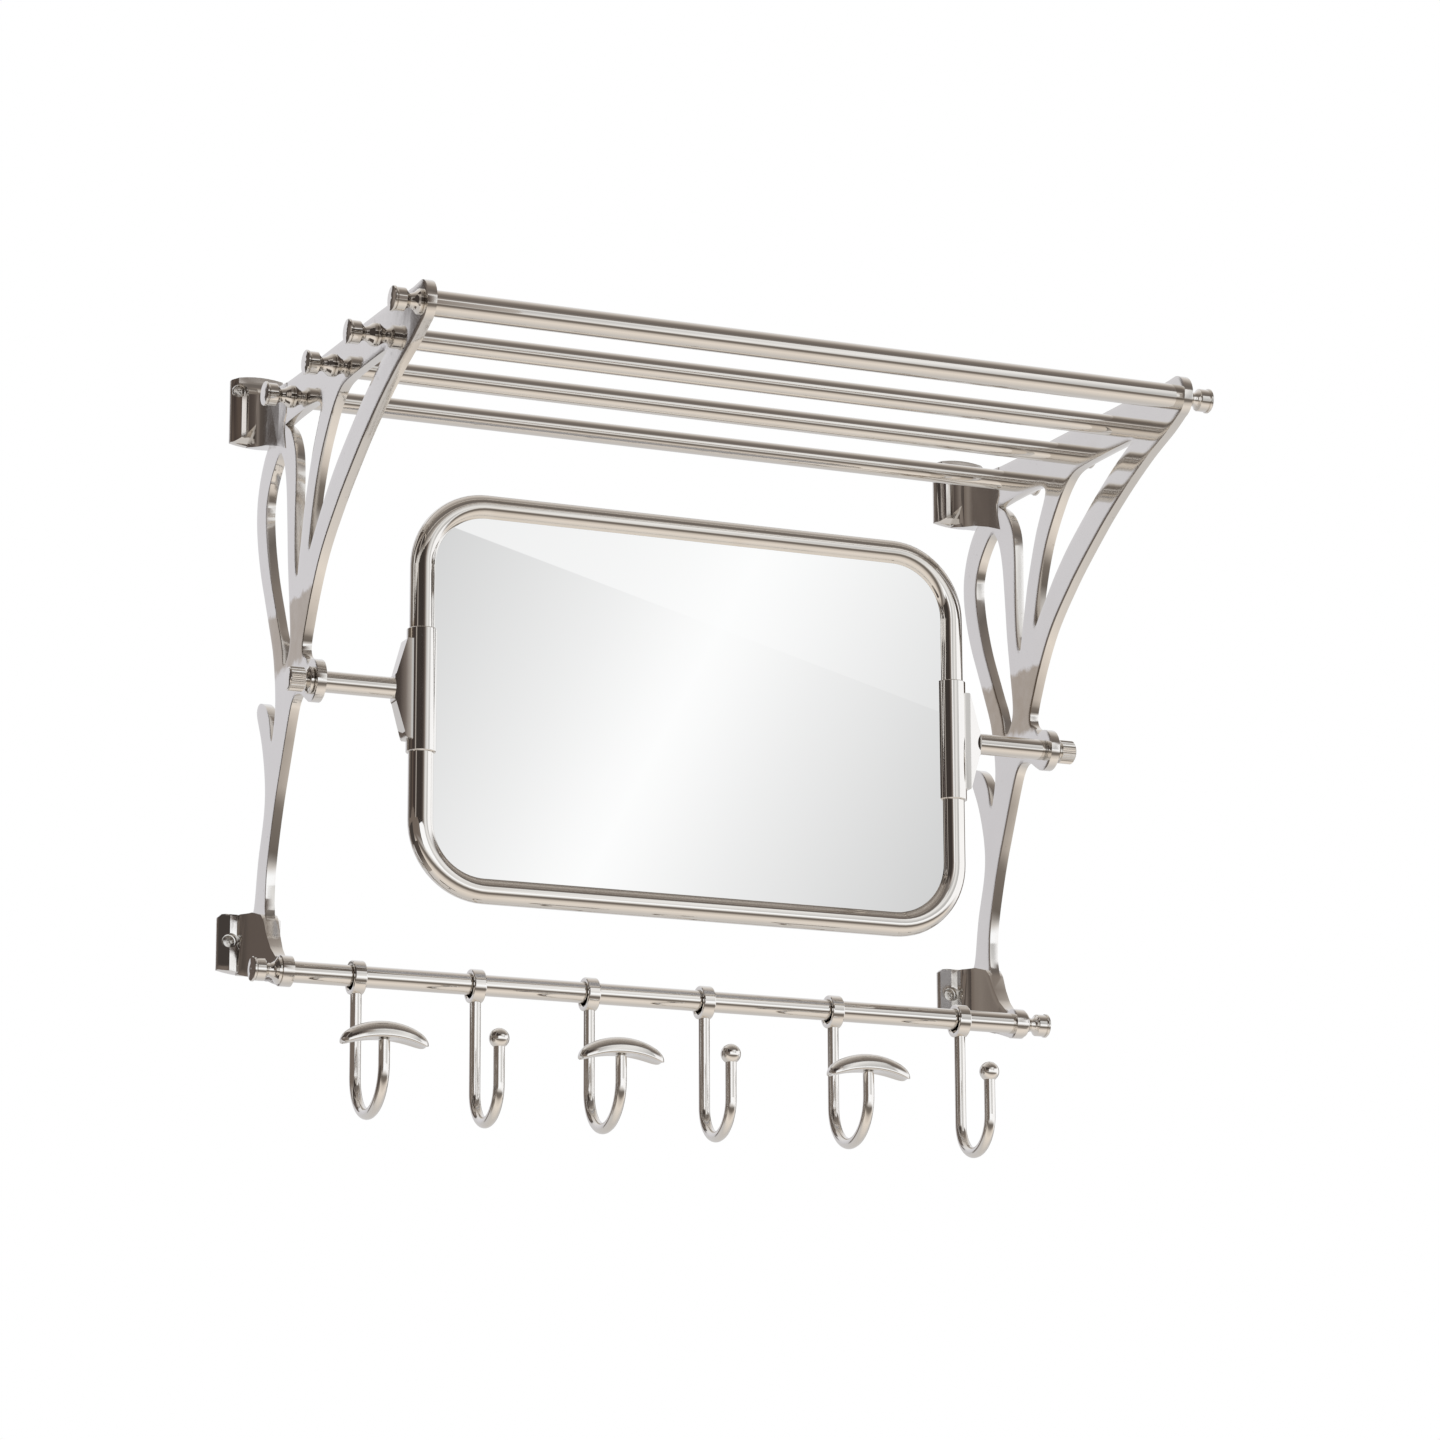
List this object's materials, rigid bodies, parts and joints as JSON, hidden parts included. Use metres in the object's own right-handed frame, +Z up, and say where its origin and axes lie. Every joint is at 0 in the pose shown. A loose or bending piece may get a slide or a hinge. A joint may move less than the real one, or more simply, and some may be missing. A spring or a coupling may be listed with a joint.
{
  "type": "wall coat rack with mirror",
  "caption": "Wall-hung polished nickel coat and hat rack: openwork cast brackets, round shelf rods, a tilting framed mirror and sliding hooks on a rail.",
  "frame": {"origin": "centre of the rectangle of the outer wall screws, in the wall plane behind the brackets", "axes": "+X to the right along the rods, +Y into the wall, +Z up; the rack stands out towards -Y"},
  "size_m": [0.6524, 0.433, 0.5906],
  "materials": {
    "nickel": "polished nickel plate",
    "screw_nickel": "duller nickel plate",
    "plug_steel": "plain turned steel",
    "mirror_glass": "silvered glass",
    "back_sheet": "matt grey paint"
  },
  "bodies": {
    "frame": {"bracket_left": "nickel", "bracket_right": "nickel", "shelf_rod_front": "nickel", "shelf_rod_second": "nickel", "shelf_rod_third": "nickel", "shelf_rod_back": "nickel", "hook_rail": "nickel", "front_rod_plugs": "plug_steel", "shelf_rod_plugs": "plug_steel", "hook_rail_plugs": "plug_steel", "front_rod_end_cap_left": "nickel", "front_rod_end_cap_right": "nickel", "second_rod_end_cap_left": "nickel", "second_rod_end_cap_right": "nickel", "third_rod_end_cap_left": "nickel", "third_rod_end_cap_right": "nickel", "back_rod_end_cap_left": "nickel", "back_rod_end_cap_right": "nickel", "hook_rail_end_cap_left": "nickel", "hook_rail_end_cap_right": "nickel", "wall_screws": "screw_nickel"},
    "mirror": {"mirror_frame_upper": "nickel", "mirror_frame_lower": "nickel", "mirror_glass": "mirror_glass", "mirror_back_sheet": "back_sheet", "mirror_saddle_left": "nickel", "mirror_saddle_right": "nickel", "pivot_spindle_left": "nickel", "pivot_spindle_right": "nickel", "pivot_washer_left": "screw_nickel", "pivot_washer_right": "screw_nickel"},
    "knob_left": {"tilt_knob_left": "nickel"},
    "knob_right": {"tilt_knob_right": "nickel"},
    "hat_hook_left_slider": {"hat_hook_left_ring": "nickel"},
    "hat_hook_left": {"hat_hook_left_rod": "nickel", "hat_hook_left_rest": "nickel"},
    "coat_hook_left_slider": {"coat_hook_left_ring": "nickel"},
    "coat_hook_left": {"coat_hook_left_rod": "nickel", "coat_hook_left_ball": "nickel"},
    "hat_hook_middle_slider": {"hat_hook_middle_ring": "nickel"},
    "hat_hook_middle": {"hat_hook_middle_rod": "nickel", "hat_hook_middle_rest": "nickel"},
    "coat_hook_middle_slider": {"coat_hook_middle_ring": "nickel"},
    "coat_hook_middle": {"coat_hook_middle_rod": "nickel", "coat_hook_middle_ball": "nickel"},
    "hat_hook_right_slider": {"hat_hook_right_ring": "nickel"},
    "hat_hook_right": {"hat_hook_right_rod": "nickel", "hat_hook_right_rest": "nickel"},
    "coat_hook_right_slider": {"coat_hook_right_ring": "nickel"},
    "coat_hook_right": {"coat_hook_right_rod": "nickel", "coat_hook_right_ball": "nickel"}
  },
  "joints": [
    {"name": "mirror_tilt", "type": "hinge", "parent": "frame", "child": "mirror", "pos_m": [0, -0.1525, -0.0455], "axis": [1, 0, 0], "range_deg": [-70, 70]},
    {"name": "knob_left_turn", "type": "hinge", "parent": "mirror", "child": "knob_left", "pos_m": [-0.3035, -0.1525, -0.0455], "axis": [-1, 0, 0], "range_deg": [0, 180]},
    {"name": "knob_right_turn", "type": "hinge", "parent": "mirror", "child": "knob_right", "pos_m": [0.3035, -0.1525, -0.0455], "axis": [1, 0, 0], "range_deg": [0, 180]},
    {"name": "hat_hook_left_slide", "type": "slide", "parent": "frame", "child": "hat_hook_left_slider", "axis": [1, 0, 0], "range_m": [-0.01, 0.02]},
    {"name": "hat_hook_left_swing", "type": "hinge", "parent": "hat_hook_left_slider", "child": "hat_hook_left", "pos_m": [-0.2445, -0.0915, -0.25265], "axis": [1, 0, 0], "range_deg": [-45, 45]},
    {"name": "coat_hook_left_slide", "type": "slide", "parent": "frame", "child": "coat_hook_left_slider", "axis": [1, 0, 0], "range_m": [-0.02, 0.02]},
    {"name": "coat_hook_left_swing", "type": "hinge", "parent": "coat_hook_left_slider", "child": "coat_hook_left", "pos_m": [-0.1505, -0.0915, -0.25265], "axis": [1, 0, 0], "range_deg": [-45, 45]},
    {"name": "hat_hook_middle_slide", "type": "slide", "parent": "frame", "child": "hat_hook_middle_slider", "axis": [1, 0, 0], "range_m": [-0.02, 0.02]},
    {"name": "hat_hook_middle_swing", "type": "hinge", "parent": "hat_hook_middle_slider", "child": "hat_hook_middle", "pos_m": [-0.059, -0.0915, -0.25265], "axis": [1, 0, 0], "range_deg": [-45, 45]},
    {"name": "coat_hook_middle_slide", "type": "slide", "parent": "frame", "child": "coat_hook_middle_slider", "axis": [1, 0, 0], "range_m": [-0.02, 0.02]},
    {"name": "coat_hook_middle_swing", "type": "hinge", "parent": "coat_hook_middle_slider", "child": "coat_hook_middle", "pos_m": [0.035, -0.0915, -0.25265], "axis": [1, 0, 0], "range_deg": [-45, 45]},
    {"name": "hat_hook_right_slide", "type": "slide", "parent": "frame", "child": "hat_hook_right_slider", "axis": [1, 0, 0], "range_m": [-0.02, 0.02]},
    {"name": "hat_hook_right_swing", "type": "hinge", "parent": "hat_hook_right_slider", "child": "hat_hook_right", "pos_m": [0.1425, -0.0915, -0.25265], "axis": [1, 0, 0], "range_deg": [-45, 45]},
    {"name": "coat_hook_right_slide", "type": "slide", "parent": "frame", "child": "coat_hook_right_slider", "axis": [1, 0, 0], "range_m": [-0.02, 0.02]},
    {"name": "coat_hook_right_swing", "type": "hinge", "parent": "coat_hook_right_slider", "child": "coat_hook_right", "pos_m": [0.2505, -0.0915, -0.25265], "axis": [1, 0, 0], "range_deg": [-45, 45]}
  ]
}
